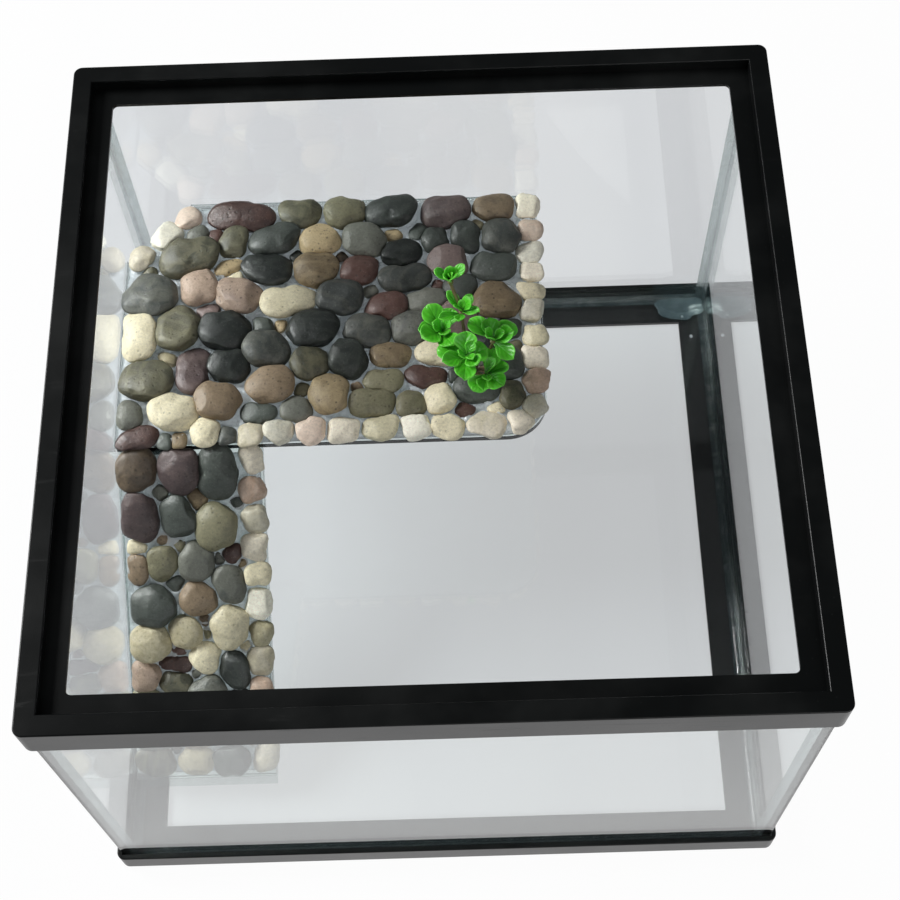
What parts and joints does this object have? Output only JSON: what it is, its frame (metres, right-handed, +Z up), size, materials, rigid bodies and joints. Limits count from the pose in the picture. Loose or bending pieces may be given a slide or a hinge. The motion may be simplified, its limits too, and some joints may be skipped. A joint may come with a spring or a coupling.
{
  "type": "turtle tank",
  "caption": "Open glass turtle tank with black plastic frames, a pebbled basking platform with a ramp down to the floor and a small soft plant.",
  "frame": {"origin": "middle of the underside of the base frame", "axes": "+X to the right as seen from the front, +Y from the ramp foot to the back pane, +Z up"},
  "size_m": [0.4, 0.4, 0.27],
  "materials": {
    "frame_plastic": "moulded, low gloss",
    "tank_glass": "clear float glass",
    "shelf_glass": "clear float glass with green edges",
    "clear_silicone": "clear, soft, slightly milky",
    "plant_plastic": "soft, satin",
    "plant_stem_plastic": "soft, satin",
    "edging_stone": "natural stone, matte",
    "mixed_small_stone": "natural stone, matte",
    "charcoal_stone": "natural stone, satin",
    "slate_stone": "natural stone, satin",
    "olive_stone": "natural stone, satin",
    "brown_stone": "natural stone, satin",
    "plum_stone": "natural stone, satin",
    "maroon_stone": "natural stone, satin",
    "pink_stone": "natural stone, satin",
    "tan_stone": "natural stone, satin",
    "cream_stone": "natural stone, satin"
  },
  "bodies": {
    "root": {"back_pane": "tank_glass", "base_frame": "frame_plastic", "base_frame_bond": "clear_silicone", "base_seam_back": "clear_silicone", "base_seam_front": "clear_silicone", "base_seam_left": "clear_silicone", "base_seam_right": "clear_silicone", "bottom_pane": "tank_glass", "front_pane": "tank_glass", "left_pane": "tank_glass", "plant_front_whorl": "plant_plastic", "plant_left_whorl": "plant_plastic", "plant_low_whorl": "plant_plastic", "plant_right_whorl": "plant_plastic", "plant_stems": "plant_stem_plastic", "plant_top_whorl": "plant_plastic", "plant_upper_whorl": "plant_plastic", "platform_back_bead": "clear_silicone", "platform_bedding": "clear_silicone", "platform_brown_stones": "brown_stone", "platform_charcoal_stones": "charcoal_stone", "platform_corner_edging": "edging_stone", "platform_cream_stones": "cream_stone", "platform_front_edging": "edging_stone", "platform_glass": "shelf_glass", "platform_left_bead": "clear_silicone", "platform_maroon_stones": "maroon_stone", "platform_olive_stones": "olive_stone", "platform_pink_stones": "pink_stone", "platform_plum_stones": "plum_stone", "platform_side_edging": "edging_stone", "platform_slate_stones": "slate_stone", "platform_small_stones": "mixed_small_stone", "platform_tan_stones": "tan_stone", "ramp_bedding": "clear_silicone", "ramp_brown_stones": "brown_stone", "ramp_charcoal_stones": "charcoal_stone", "ramp_cream_stones": "cream_stone", "ramp_edging": "edging_stone", "ramp_foot_bead": "clear_silicone", "ramp_glass": "shelf_glass", "ramp_left_bead": "clear_silicone", "ramp_maroon_stones": "maroon_stone", "ramp_olive_stones": "olive_stone", "ramp_pink_stones": "pink_stone", "ramp_plum_stones": "plum_stone", "ramp_slate_stones": "slate_stone", "ramp_small_stones": "mixed_small_stone", "ramp_tan_stones": "tan_stone", "ramp_top_bead": "clear_silicone", "right_pane": "tank_glass", "seam_back_left": "clear_silicone", "seam_back_right": "clear_silicone", "seam_front_left": "clear_silicone", "seam_front_right": "clear_silicone", "top_frame": "frame_plastic", "top_frame_bond": "clear_silicone"}
  },
  "joints": []
}
